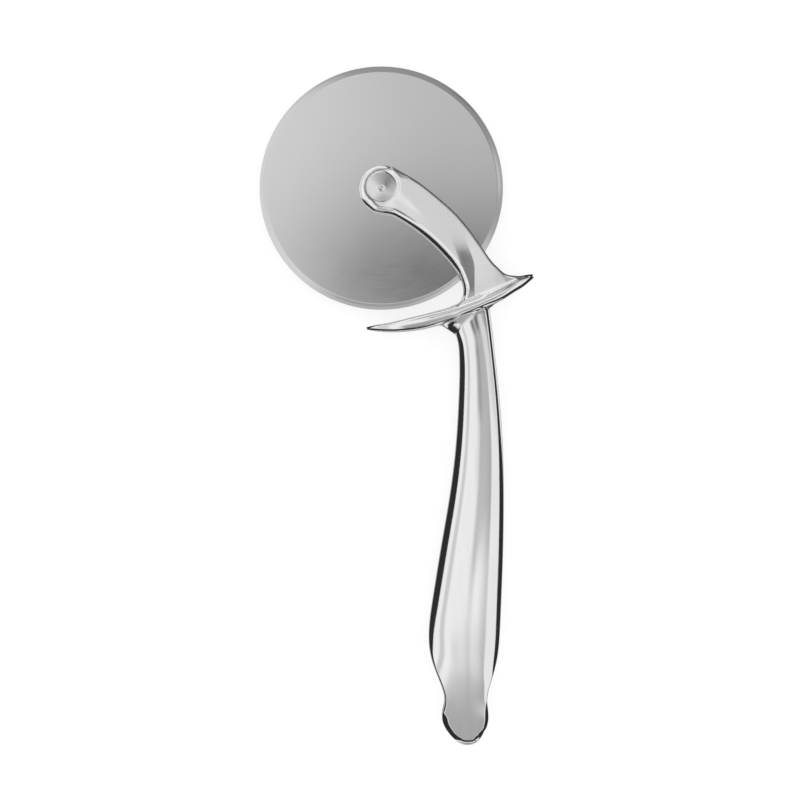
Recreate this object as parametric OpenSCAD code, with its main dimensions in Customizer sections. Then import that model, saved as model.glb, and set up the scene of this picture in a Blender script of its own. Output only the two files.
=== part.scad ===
// Rotary pizza cutter: a bevelled steel wheel that turns between the two arms
// of a cast fork. The fork carries a crossing finger guard and runs into a
// hollow steel handle made of two pressed shells.
// The cutter lies on its back: X right, Y along the cutter towards the wheel,
// Z up. The origin is on the wheel's axis, at the flat end of the rear rivet cap.

/* [Wheel] */
// Diameter of the cutting wheel
wheel_d = 90; // [84:1:92]
// Thickness of the wheel
wheel_t = 1.2; // [0.8:0.1:1.4]
// Width of the ground bevel on each face
bevel_w = 2.1; // [1:0.1:4]
// Thickness left at the cutting edge
edge_land = 0.2; // [0.1:0.05:0.3]

/* [Axle] */
// Diameter of the rivet's pin
pin_d = 5; // [4:0.1:5.4]
// Radial play between the pin and the bushings
running_play = 0.06; // [0.02:0.01:0.1]
// Outer diameter of the bushing sleeves, which sit in the wheel's bore
sleeve_d = 8; // [7:0.1:9]
// Diameter of the bushing flanges
flange_d = 13.2; // [11:0.2:15]
// Thickness of the bushing flanges
flange_t = 0.6; // [0.4:0.05:0.65]
// Diameter of the front rivet head
head_d = 11.4; // [9:0.2:12]
// Height of the conical head above its seat
head_h = 1.7; // [1.2:0.1:2.4]
// Depth of the pocket that the head sits in
pocket_h = 0.8; // [0.4:0.1:1.2]

/* [Fork] */
// Gap between the two arms
slot_w = 2.6; // [2.5:0.05:3]
// Thickness of each arm
arm_t = 3.6; // [3:0.1:4.2]
// Radius of the round end of each arm
tip_r = 8.2; // [7.4:0.1:9]
// Clearance between the wheel's edge and the end of the slot
slot_gap = 1.0; // [0.6:0.1:2]

/* [Guard] */
// Depth of the finger guard, front to back
guard_depth = 15; // [14:0.5:16]

/* [Handle] */
// Height of the arch in the handle's rim
rim_rise = 2.2; // [0:0.1:2.6]
// Wall of the pressed handle shells
wall = 1.1; // [0.8:0.1:1.5]
// Length of the fork's tang inside the handle
tang_l = 46; // [30:1:60]
// Sharpness of the handle's section, 2 is an ellipse
section_n = 2.3; // [2:0.1:3]

/* [Hidden] */

// Height of the wheel's middle plane above the table
H = guard_depth / 2;
R = wheel_d / 2;
pin_r = pin_d / 2;
arm_front = H + slot_w / 2 + arm_t;
arm_back = H - slot_w / 2 - arm_t;
round_fn = 96;
// Direction of the guard in the plane of the wheel
guard_a = 18;

// ---- Curves -------------------------------------------------------------

// Catmull-Rom point between b and c
function cr(a, b, c, d, t) =
    0.5 * ((2 * b) + (c - a) * t + (2 * a - 5 * b + 4 * c - d) * t * t
           + (3 * b - a - 3 * c + d) * t * t * t);

// Open curve through the points of P, with n steps between neighbours
function smooth(P, n) = concat(
    [for (i = [0 : len(P) - 2]) for (k = [0 : n - 1])
        cr(P[max(i - 1, 0)], P[i], P[i + 1], P[min(i + 2, len(P) - 1)], k / n)],
    [P[len(P) - 1]]);

// Half superellipse from the right end over the front to the left end. Its
// middle is raised by b towards the wheel, square to the section's own line.
function half_section(c, u, w, d, m, b = 0) =
    [for (k = [0 : m]) let (a = 180 * k / m, ca = cos(a), sa = sin(a),
        px = (ca < 0 ? -1 : 1) * pow(abs(ca), 2 / section_n) * w,
        pz = pow(max(sa, 0), 2 / section_n) * d, pb = max(sa, 0) * b)
        [c[0] + u[0] * px - u[1] * pb, c[1] + u[1] * px + u[0] * pb, pz]];

// Quads, split into triangles, between closed loops of m points each
function skin(loops, m) = [for (i = [0 : loops - 2]) for (k = [0 : m - 1])
    let (a = i * m + k, b = i * m + (k + 1) % m)
    each [[a, b, b + m], [a, b + m, a + m]]];

// ---- Outlines, in millimetres from the wheel's axis ----------------------

// Upper side of an arm, from its round end down to the web
ARM_UPPER = [[3.4, 7.5], [7.6, 5.4], [13.8, 1.6], [21, -4.1], [27.3, -9.8],
             [32.4, -15.8], [36.6, -21.7], [40.5, -27.3], [44, -31], [46.5, -35.2]];
// Lower side of an arm, from the web back to the round end
ARM_LOWER = [[27, -45], [29, -42.4], [30.3, -39.6], [30.3, -36.4], [28.9, -32.3],
             [26.2, -28.4], [22.5, -24.2], [17.9, -19.7], [12.6, -15.4],
             [6.6, -11.5], [1.6, -9], [-2, -7.8]];

// Upper edge of the finger guard, from the long prong to the short one
GUARD_UPPER = [[-5.6, -51.5], [-2.3, -50.8], [3, -50], [10.7, -48.2], [18, -46.4],
               [25, -44.4], [30, -42.8], [36.5, -40.2], [42, -36.8], [45, -33.9],
               [48, -32.9], [51, -32.8], [53.5, -32.3], [56, -31.9]];
// Lower edge of the finger guard, from the short prong back to the long one
GUARD_LOWER = [[56.4, -33.2], [52.7, -36.3], [49, -38.6], [45, -41.1], [41, -43],
               [36, -45.3], [30, -47.6], [24.6, -49.6], [18, -51.5], [12.7, -52.5],
               [8, -53], [3, -53.2], [-1.8, -52.9], [-5.2, -52.4]];
// Half depth of the guard along X
GUARD_PLAN = [[-6, 0.8], [-3.5, 2.7], [0, 4.4], [4.5, 5.9], [10, 7], [16, 7.45],
              [22, 7.5], [38, 7.5], [43, 7.2], [47.5, 6.2], [51.5, 4.5], [54.5, 2.6],
              [56.6, 0.8]];

// Handle sections: left x, left y, right x, right y, front height, back height.
// Each section stands on the line from its left to its right point.
HANDLE = [
    [27.75, -54.6, 40.1, -44.6, 5.6, 5.6],
    [28.3, -58.0, 40.9, -51.0, 5.7, 5.7],
    [28.5, -62.5, 41.7, -58.5, 5.7, 5.7],
    [28.5, -68.0, 42.6, -66.5, 5.8, 5.8],
    [28.4, -74.0, 43.4, -74.0, 5.9, 5.9],
    [28.1, -82.0, 44.1, -82.0, 6.1, 6.1],
    [27.5, -92.0, 44.8, -92.0, 6.3, 6.3],
    [26.3, -104.0, 45.2, -104.0, 6.6, 6.6],
    [24.6, -116.0, 45.3, -116.0, 6.9, 6.9],
    [22.7, -127.0, 45.2, -127.0, 7.1, 7.1],
    [20.5, -140.0, 44.9, -140.0, 7.3, 7.35],
    [18.6, -152.0, 44.4, -152.0, 7.3, 7.48],
    [17.5, -162.0, 44.0, -162.0, 7.1, 7.48],
    [17.4, -169.0, 43.6, -169.0, 6.7, 7.3],
    [18.4, -175.0, 42.9, -175.0, 6.2, 6.8],
    [20.8, -180.5, 41.2, -180.5, 5.6, 6.1],
    [22.7, -185.0, 39.6, -185.0, 5.0, 5.4],
    [23.3, -189.5, 39.1, -189.5, 4.5, 4.8],
    [22.5, -193.5, 39.5, -193.5, 4.0, 4.3],
    [22.7, -197.5, 39.4, -197.5, 3.6, 3.8],
    [24.5, -201.0, 38.1, -201.0, 3.1, 3.2],
    [27.2, -204.0, 36.3, -204.0, 2.3, 2.4],
    [29.8, -205.7, 34.2, -205.7, 1.2, 1.2]];
// Bolster between the guard and the handle: left, right, half depth
BOLSTER = [
    [24.2, -48.4, 42.6, -38.6, 6.6],
    [23.4, -51.2, 43.2, -41.4, 6.7],
    [25.2, -52.8, 41.9, -43.1, 6.2],
    [26.7, -53.8, 40.8, -44.1, 5.8],
    [27.7, -54.55, 40.1, -44.5, 5.6]];

HS = smooth(HANDLE, 2);
function st_c(s) = [(s[0] + s[2]) / 2, (s[1] + s[3]) / 2];
function st_w(s) = norm([s[2] - s[0], s[3] - s[1]]) / 2;
function st_u(s) = [s[2] - s[0], s[3] - s[1]] / norm([s[2] - s[0], s[3] - s[1]]);

// Rise of the arched rim where the handle meets the bolster, dying out along
// the first sections of the handle
function rise(i) = rim_rise * pow(max(0, 1 - i / 7), 2);

// Section number at which the hollow ends, near the butt
last_hollow = len(HS) - 8;

// ---- Wheel and axle -------------------------------------------------------

module cutting_wheel() {
    color("lightgray") rotate_extrude($fn = 180) polygon([
        [sleeve_d / 2 + 0.02, H - wheel_t / 2], [R - bevel_w, H - wheel_t / 2],
        [R, H - edge_land / 2], [R, H + edge_land / 2],
        [R - bevel_w, H + wheel_t / 2], [sleeve_d / 2 + 0.02, H + wheel_t / 2]]);
}

// Flanged half bushing, its sleeve reaching from the wheel's face to its middle
module bushing(side) {
    translate([0, 0, H]) mirror([0, 0, side < 0 ? 1 : 0]) rotate_extrude($fn = round_fn)
        polygon([[pin_r + running_play, 0], [sleeve_d / 2, 0], [sleeve_d / 2, wheel_t / 2],
                 [flange_d / 2, wheel_t / 2], [flange_d / 2, wheel_t / 2 + flange_t],
                 [pin_r + running_play, wheel_t / 2 + flange_t]]);
}
module bushing_front() { color("ivory") bushing(1); }
module bushing_rear() { color("ivory") bushing(-1); }

// Pin with its conical head; the apex carries the mark of the riveting tool
module axle_rivet() {
    seat = arm_front - pocket_h;
    color("silver") rotate_extrude($fn = round_fn) polygon([
        [0, 0.9], [pin_r - 0.3, 0.9], [pin_r, 1.2], [pin_r, seat], [head_d / 2, seat],
        [head_d / 2, seat + 0.5], [head_d / 2 - 0.3, seat + 0.75],
        [0.95, seat + head_h], [0.7, seat + head_h - 0.05], [0.25, seat + head_h - 0.6],
        [0, seat + head_h - 0.65]]);
}

// Rear cap over the pin's end, with a flat face that the cutter lies on
module axle_cap() {
    color("silver") rotate_extrude($fn = round_fn) polygon([
        [0, 0], [head_d / 2 - 0.9, 0], [head_d / 2 - 0.25, 0.25], [head_d / 2, 0.9],
        [head_d / 2, arm_back], [pin_r + 0.02, arm_back], [pin_r + 0.02, 0.85], [0, 0.85]]);
}

// ---- Fork, guard and bolster ----------------------------------------------

module arm_outline() {
    circle(r = tip_r, $fn = round_fn);
    polygon(concat(smooth(ARM_UPPER, 3), [[41, -40]], smooth(ARM_LOWER, 3)));
}

// Profile across the arms: parallel faces that sweep out to the guard's depth
module flare_profile() {
    a = slot_w / 2 + arm_t;
    top = concat([[30, a]], [for (k = [0 : 8]) let (t = k / 8) [-27 - 20 * t, a + (guard_depth / 2 - 0.6 - a) * t * t]],
                 [[-58, guard_depth / 2 - 0.6]]);
    polygon(concat(top, [for (k = [len(top) - 1 : -1 : 0]) [top[k][0], -top[k][1]]]));
}

module arms() {
    difference() {
        intersection() {
            linear_extrude(guard_depth) arm_outline();
            translate([0, 0, H]) rotate([0, 0, guard_a]) translate([-30, 0, 0])
                rotate([90, 0, 90]) linear_extrude(90) flare_profile();
        }
        // slot for the wheel
        translate([0, 0, H - slot_w / 2]) cylinder(r = R + slot_gap, h = slot_w, $fn = 180);
        // pin holes through both arms
        translate([0, 0, -1]) cylinder(r = pin_r + 0.02, h = guard_depth + 2, $fn = round_fn);
        // pocket for the rivet's head
        translate([0, 0, arm_front - pocket_h]) cylinder(r = head_d / 2 + 0.5, h = 5, $fn = round_fn);
    }
}

module guard() {
    intersection() {
        linear_extrude(guard_depth) polygon(concat(smooth(GUARD_UPPER, 3), smooth(GUARD_LOWER, 3)));
        translate([0, -20, H]) rotate([90, 0, 0]) linear_extrude(50)
            polygon(concat([for (p = smooth(GUARD_PLAN, 3)) p],
                           [for (q = smooth([for (i = [len(GUARD_PLAN) - 1 : -1 : 0]) GUARD_PLAN[i]], 3))
                               [q[0], -q[1]]]));
    }
}

// Closed loft through full sections given as left, right, half depth and rise
module loft(S, m) {
    n = 2 * m;
    pts = [for (s = S) let (c = st_c(s), u = st_u(s), w = st_w(s),
               top = half_section(c, u, w, s[4], m, s[5]))
           each concat([for (p = top) [p[0], p[1], H + p[2]]],
                       [for (k = [m - 1 : -1 : 1]) [top[k][0], top[k][1], H - top[k][2]]])];
    z = (len(S) - 1) * n;
    hubs = [for (s = [S[0], S[len(S) - 1]]) let (c = st_c(s)) [c[0], c[1], H]];
    ends = [for (k = [0 : n - 1]) let (j = (k + 1) % n) each
            [[k, j, len(S) * n], [z + j, z + k, len(S) * n + 1]]];
    polyhedron(concat(pts, hubs), concat(ends, [for (f = skin(len(S), n)) [f[2], f[1], f[0]]]),
               convexity = 6);
}

module tang() {
    // flat bar down the middle of the handle, with two keying holes
    translate([34.9, -50, H]) rotate([0, 0, 1]) difference() {
        translate([-3, -tang_l, -1.5]) cube([6, tang_l, 3]);
        for (k = [0.55, 0.82]) translate([0, -tang_l * k, -2]) cylinder(r = 1.5, h = 4, $fn = 48);
    }
}

// A section drawn in by g all round
function inset(s, g, b) = let (u = st_u(s))
    [s[0] + u[0] * g, s[1] + u[1] * g, s[2] - u[0] * g, s[3] - u[1] * g, s[4] - g, b];

// Swept bolster, its shoulder against the handle's rim, and the short tenon
// that the rim fits round
module bolster() {
    body = smooth([for (s = BOLSTER) concat(s, [rim_rise])], 2);
    g = wall + 0.1;
    loft(concat(body, [inset(BOLSTER[4], g, rim_rise), inset(HS[1], g, rise(1)),
                       inset(HS[2], g, rise(2))]), 16);
}

module yoke() {
    color("gainsboro") {
        arms();
        guard();
        bolster();
        tang();
    }
}

// ---- Handle ----------------------------------------------------------------

// One pressed shell: side is 1 for the front and -1 for the back. Each section
// is a C of constant wall that closes to a solid end near the butt.
module shell(side) {
    m = 16;
    n = 2 * m + 2;
    pts = [for (i = [0 : len(HS) - 1]) let (s = HS[i], c = st_c(s), u = st_u(s), w = st_w(s),
               d = side > 0 ? s[4] : s[5],
               di = i > last_hollow ? 0 : i == last_hollow ? (d - wall) * 0.6 : d - wall,
               outer = half_section(c, u, w, d, m, rise(i)),
               inner = half_section(c, u, w - min(wall, w * 0.4), max(di, 0), m, rise(i)))
           each concat([for (p = outer) [p[0], p[1], H + side * p[2]]],
                       [for (k = [m : -1 : 0]) [inner[k][0], inner[k][1], H + side * inner[k][2]]])];
    sides = skin(len(HS), n);
    z = (len(HS) - 1) * n;
    ends = [for (k = [0 : m - 1]) let (i = n - 1 - k) each k < m / 2
            ? [[k, k + 1, i], [k + 1, i - 1, i], [z + k, z + i, z + k + 1], [z + k + 1, z + i, z + i - 1]]
            : [[k, k + 1, i - 1], [k, i - 1, i], [z + k, z + i - 1, z + k + 1], [z + k, z + i, z + i - 1]]];
    faces = concat(ends, [for (f = sides) [f[2], f[1], f[0]]]);
    polyhedron(pts, side > 0 ? faces : [for (f = faces) [for (k = [len(f) - 1 : -1 : 0]) f[k]]],
               convexity = 6);
}
module handle_front_shell() { color("silver") shell(1); }
module handle_back_shell() { color("silver") shell(-1); }

// Resin that locks the tang in the hollow handle
module tang_cement() {
    first = 4;
    last = 14;
    S = [for (i = [first : last]) inset(HS[i], wall + 0.1, 0)];
    color("tan") difference() {
        loft(S, 16);
        tang();
    }
}

cutting_wheel();
bushing_front();
bushing_rear();
axle_rivet();
axle_cap();
yoke();
handle_front_shell();
handle_back_shell();
tang_cement();
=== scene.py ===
import math

import bpy
import numpy as np
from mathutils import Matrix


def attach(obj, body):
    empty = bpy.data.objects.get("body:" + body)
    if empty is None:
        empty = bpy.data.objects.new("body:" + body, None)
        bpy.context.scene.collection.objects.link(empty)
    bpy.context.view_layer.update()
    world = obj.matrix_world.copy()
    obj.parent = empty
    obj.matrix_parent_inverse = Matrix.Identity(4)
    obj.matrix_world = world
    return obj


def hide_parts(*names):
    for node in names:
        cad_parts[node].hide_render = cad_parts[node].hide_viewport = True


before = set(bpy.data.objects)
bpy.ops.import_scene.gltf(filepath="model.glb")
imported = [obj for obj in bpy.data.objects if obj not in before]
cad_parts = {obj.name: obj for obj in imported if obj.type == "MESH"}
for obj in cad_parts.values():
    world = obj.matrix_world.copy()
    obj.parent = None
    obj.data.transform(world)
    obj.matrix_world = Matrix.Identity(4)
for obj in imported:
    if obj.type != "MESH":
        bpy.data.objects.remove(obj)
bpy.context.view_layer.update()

# Lengths below are millimetres in the CAD frame, as in the part's source.
H = 7.5             # height of the wheel's middle plane
R = 45.0            # wheel radius
SECTION_N = 2.3     # superellipse exponent of handle and bolster

ARM_UPPER = [[4.0, 6.9], [7.6, 5.3], [13.8, 1.6], [21, -4.1], [27.3, -9.8], [32.4, -15.8],
             [36.6, -21.7], [40.5, -27.3], [44, -31], [46.5, -35.2]]
ARM_LOWER = [[27, -45], [29, -42.4], [30.3, -39.6], [30.3, -36.4], [28.9, -32.3], [26.2, -28.4],
             [22.5, -24.2], [17.9, -19.7], [12.6, -15.4], [6.6, -11.5], [1.6, -9], [-2, -7.8]]
GUARD_UPPER = [[-5.6, -51.5], [-2.3, -50.8], [3, -50], [10.7, -48.2], [18, -46.4], [25, -44.4],
               [30, -42.8], [36.5, -40.2], [42, -36.8], [45, -33.9], [48, -32.9], [51, -32.8],
               [53.5, -32.3], [56, -31.9]]
GUARD_LOWER = [[56.4, -33.2], [52.7, -36.3], [49, -38.6], [45, -41.1], [41, -43], [36, -45.3],
               [30, -47.6], [24.6, -49.6], [18, -51.5], [12.7, -52.5], [8, -53], [3, -53.2],
               [-1.8, -52.9], [-5.2, -52.4]]
GUARD_CREST = [[-5.6, -51.5], [-2.3, -50.8], [3, -50], [10.7, -48.2], [18, -46.4], [25, -44.4],
               [30, -42.9], [36.5, -40.4], [42, -37.9], [47, -35.5], [51, -33.9], [54, -32.9],
               [56, -32.2]]
GUARD_PLAN = [[-6, 0.8], [-3.5, 2.7], [0, 4.4], [4.5, 5.9], [10, 7], [16, 7.45], [22, 7.5],
              [38, 7.5], [43, 7.42], [47.5, 7.0], [51.5, 5.9], [54.5, 4.1], [56.6, 1.6]]
BOLSTER = [[24.2, -48.4, 42.6, -38.6, 6.6], [23.4, -51.2, 43.2, -41.4, 6.7],
           [25.2, -52.8, 41.9, -43.1, 6.2], [26.7, -53.8, 40.8, -44.1, 5.8],
           [27.7, -54.55, 40.1, -44.5, 5.6]]
HANDLE = [[27.75, -54.6, 40.1, -44.6, 5.6, 5.6], [28.5, -58.0, 40.9, -51.0, 5.7, 5.7],
          [28.85, -62.5, 41.7, -58.5, 5.7, 5.7], [28.9, -68.0, 42.6, -66.5, 5.8, 5.8],
          [28.75, -74.0, 43.4, -74.0, 5.9, 5.9], [28.4, -82.0, 44.1, -82.0, 6.1, 6.1],
          [27.8, -92.0, 44.8, -92.0, 6.3, 6.3], [26.6, -104.0, 45.2, -104.0, 6.6, 6.6],
          [24.9, -116.0, 45.3, -116.0, 6.9, 6.9], [23.0, -127.0, 45.2, -127.0, 7.1, 7.1],
          [20.8, -140.0, 44.9, -140.0, 7.3, 7.35], [18.9, -152.0, 44.4, -152.0, 7.3, 7.48],
          [17.5, -162.0, 44.0, -162.0, 7.1, 7.48], [17.4, -169.0, 43.6, -169.0, 6.7, 7.3],
          [18.4, -175.0, 42.9, -175.0, 6.2, 6.8], [20.8, -180.5, 41.2, -180.5, 5.6, 6.1],
          [22.7, -185.0, 39.6, -185.0, 5.0, 5.4], [23.3, -189.5, 39.1, -189.5, 4.5, 4.8],
          [22.5, -193.5, 39.5, -193.5, 4.0, 4.3], [22.7, -197.5, 39.4, -197.5, 3.6, 3.8],
          [24.5, -201.0, 38.1, -201.0, 3.1, 3.2], [27.2, -204.0, 36.3, -204.0, 2.3, 2.4],
          [29.8, -205.7, 34.2, -205.7, 1.2, 1.2], [31.0, -206.0, 33.0, -206.0, 0.6, 0.6]]


# ---- Small maths -----------------------------------------------------------

def step(v, a, b):
    t = np.clip((v - a) / (b - a), 0, 1)
    return t * t * (3 - 2 * t)


def smin(a, b, k):
    h = np.clip(0.5 + 0.5 * (b - a) / k, 0, 1)
    return b + (a - b) * h - k * h * (1 - h)


def smax(a, b, k):
    return -smin(-a, -b, k)


def round_join(a, b, r):
    """Intersection of two solids whose common edge is rounded to radius r."""
    u, v = np.maximum(a + r, 0), np.maximum(b + r, 0)
    return np.minimum(-r, np.maximum(a, b)) + np.sqrt(u * u + v * v)


def curve(points, steps):
    """Catmull-Rom curve through the points."""
    p = np.array(points, float)
    e = np.vstack([2 * p[0] - p[1], p, 2 * p[-1] - p[-2]])
    t = np.linspace(0, 1, steps, endpoint=False)[:, None]
    out = [0.5 * (2 * e[i + 1] + (e[i + 2] - e[i]) * t
                  + (2 * e[i] - 5 * e[i + 1] + 4 * e[i + 2] - e[i + 3]) * t ** 2
                  + (3 * e[i + 1] - e[i] - 3 * e[i + 2] + e[i + 3]) * t ** 3)
           for i in range(len(p) - 1)]
    return np.vstack(out + [p[-1:]])


def spline(t, values, q):
    """Natural cubic spline through the rows of values at t, read at q."""
    n, h = len(t), np.diff(t)
    a, r = np.zeros((n, n)), np.zeros((n, values.shape[1]))
    a[0, 0] = a[-1, -1] = 1
    for i in range(1, n - 1):
        a[i, i - 1:i + 2] = h[i - 1], 2 * (h[i - 1] + h[i]), h[i]
        r[i] = 6 * ((values[i + 1] - values[i]) / h[i] - (values[i] - values[i - 1]) / h[i - 1])
    m = np.linalg.solve(a, r)
    i = np.clip(np.searchsorted(t, q, side="right") - 1, 0, n - 2)
    hi, u, v = h[i][:, None], (t[i + 1] - q)[:, None], (q - t[i])[:, None]
    return (m[i] * u ** 3 + m[i + 1] * v ** 3) / (6 * hi) + (values[i] / hi - m[i] * hi / 6) * u \
        + (values[i + 1] / hi - m[i + 1] * hi / 6) * v


def soften(values, sigma):
    """Gaussian smoothing along the first axis, the ends held by odd reflection."""
    k = int(3 * sigma) + 1
    w = np.exp(-0.5 * (np.arange(-k, k + 1) / sigma) ** 2)
    w /= w.sum()
    ext = np.vstack([2 * values[0] - values[k:0:-1], values, 2 * values[-1] - values[-2:-k - 2:-1]])
    return np.stack([np.convolve(ext[:, c], w, mode="valid") for c in range(values.shape[1])], 1)


def line_distance(x, y, p):
    best = np.full(x.shape, 1e9)
    for (x0, y0), (x1, y1) in zip(p[:-1], p[1:]):
        dx, dy = x1 - x0, y1 - y0
        t = np.clip(((x - x0) * dx + (y - y0) * dy) / max(dx * dx + dy * dy, 1e-12), 0, 1)
        np.minimum(best, (x - x0 - t * dx) ** 2 + (y - y0 - t * dy) ** 2, out=best)
    return np.sqrt(best)


def inside(x, y, p):
    odd = np.zeros(x.shape, bool)
    for (x0, y0), (x1, y1) in zip(p, np.roll(p, -1, 0)):
        if y0 != y1:
            odd ^= ((y0 > y) != (y1 > y)) & (x < (x1 - x0) * (y - y0) / (y1 - y0) + x0)
    return odd


# ---- Mesh helpers ----------------------------------------------------------

def mesh_object(name, verts, faces, normals=None, attributes=None):
    """A mesh from millimetre points, smooth shaded, with its true surface normals."""
    me = bpy.data.meshes.new(name)
    me.from_pydata((np.asarray(verts, float) * 0.001).tolist(), [], [list(map(int, f)) for f in faces])
    for key, data in (attributes or {}).items():
        me.attributes.new(key, "FLOAT", "POINT").data.foreach_set("value", np.asarray(data, np.float32))
    me.polygons.foreach_set("use_smooth", [True] * len(me.polygons))
    me.update()
    if normals is not None:
        me.normals_split_custom_set_from_vertices(np.asarray(normals, float).tolist())
    ob = bpy.data.objects.new(name, me)
    bpy.context.scene.collection.objects.link(ob)
    return ob


def revolve(name, profile, segments=192, sharp=35.0):
    """Solid of revolution about the wheel's axis from a closed profile of (r, z) points.
    Corners get a small radius, and the shading normals follow the profile exactly."""
    p = np.array(profile, float)
    pts, nrm = [], []
    n = len(p)
    for i in range(n):
        a, b, c = p[i - 1], p[i], p[(i + 1) % n]
        on_axis = b[0] < 1e-6
        u, v = b - a, c - b
        lu, lv = np.linalg.norm(u), np.linalg.norm(v)
        u, v = u / lu, v / lv
        nu, nv = np.array([u[1], -u[0]]), np.array([v[1], -v[0]])
        if on_axis:
            pts.append(b)
            nrm.append(nu if a[0] > 1e-6 else nv)
            continue
        r = min(0.12, lu * 0.3, lv * 0.3)
        turn = math.degrees(math.acos(max(-1, min(1, float(u @ v)))))
        k = 5 if turn > sharp else 2
        for j in range(k + 1):
            t = j / k
            q = (1 - t) ** 2 * (b - r * u) + 2 * t * (1 - t) * b + t * t * (b + r * v)
            m = nu * (1 - t) + nv * t
            pts.append(q)
            nrm.append(m / max(np.linalg.norm(m), 1e-9))
    pts, nrm = np.array(pts), np.array(nrm)
    ang = np.linspace(0, 2 * math.pi, segments, endpoint=False)
    verts, norms, index = [], [], []
    for q, m in zip(pts, nrm):
        if q[0] < 1e-6:
            index.append([len(verts)] * segments)
            verts.append([0, 0, q[1]])
            norms.append([0, 0, 1.0 if m[1] >= 0 else -1.0])
        else:
            index.append(list(range(len(verts), len(verts) + segments)))
            for t in ang:
                verts.append([q[0] * math.cos(t), q[0] * math.sin(t), q[1]])
                norms.append([m[0] * math.cos(t), m[0] * math.sin(t), m[1]])
    faces = []
    count = len(index)
    for i in range(count):
        a, b = index[i], index[(i + 1) % count]
        if a[0] == a[1] and b[0] == b[1]:
            continue
        for j in range(segments):
            k = (j + 1) % segments
            f = [a[j], a[k], b[k], b[j]]
            faces.append([v for n_, v in enumerate(f) if v not in f[:n_]])
    return mesh_object(name, verts, faces, norms)


def surface_net(f, origin, h):
    """Closed quad mesh of the zero level of f, a grid of signed values, inside negative."""
    s = f < 0
    nx, ny, nz = f.shape
    corner = [(i, j, k) for i in (0, 1) for j in (0, 1) for k in (0, 1)]
    total = sum(s[i:nx - 1 + i, j:ny - 1 + j, k:nz - 1 + k].astype(np.int8) for i, j, k in corner)
    cells = np.argwhere((total > 0) & (total < 8))
    number = np.full((nx - 1, ny - 1, nz - 1), -1, np.int64)
    number[tuple(cells.T)] = np.arange(len(cells))
    acc, cnt = np.zeros((len(cells), 3)), np.zeros(len(cells))
    for a in corner:
        for axis in range(3):
            if a[axis]:
                continue
            b = tuple(v + (n == axis) for n, v in enumerate(a))
            ca, cb = cells + a, cells + b
            fa, fb = f[tuple(ca.T)], f[tuple(cb.T)]
            m = (fa < 0) != (fb < 0)
            t = fa[m] / (fa[m] - fb[m])
            pos = ca[m].astype(float)
            pos[:, axis] += t
            acc[m] += pos
            cnt[m] += 1
    verts = acc / cnt[:, None] * h + origin
    quads = []
    for axis in range(3):
        o1, o2 = (axis + 1) % 3, (axis + 2) % 3
        lo = [slice(0, n) for n in f.shape]
        hi = [slice(0, n) for n in f.shape]
        lo[axis], hi[axis] = slice(0, f.shape[axis] - 1), slice(1, f.shape[axis])
        edge = np.argwhere(s[tuple(lo)] != s[tuple(hi)])
        edge = edge[(edge[:, o1] > 0) & (edge[:, o2] > 0) & (edge[:, o1] < f.shape[o1] - 1) & (edge[:, o2] < f.shape[o2] - 1)]
        flip = s[tuple(edge.T)]
        q = []
        for d1, d2 in ((-1, -1), (0, -1), (0, 0), (-1, 0)):
            c = edge.copy()
            c[:, o1] += d1
            c[:, o2] += d2
            q.append(number[tuple(c.T)])
        q = np.stack(q, 1)
        q[~flip] = q[~flip][:, ::-1]
        quads.append(q)
    return verts, np.vstack(quads)


def polish_onto(f, verts, h, rounds=4):
    """Moves net vertices onto the exact surface and returns them with its normals."""
    e = 0.04

    def gradient(p):
        return np.stack([(f(*(p + d).T) - f(*(p - d).T)) / (2 * e) for d in np.eye(3) * e], 1)

    for _ in range(rounds):
        g = gradient(verts)
        v = f(*verts.T)
        stepv = -(v / np.maximum((g * g).sum(1), 0.05))[:, None] * g
        size = np.linalg.norm(stepv, axis=1, keepdims=True)
        verts = verts + stepv * np.minimum(1, 0.6 * h / np.maximum(size, 1e-9))
    g = gradient(verts)
    return verts, g / np.maximum(np.linalg.norm(g, axis=1, keepdims=True), 1e-9)


# ---- Yoke: fork arms, guard and bolster in one casting ----------------------

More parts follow.
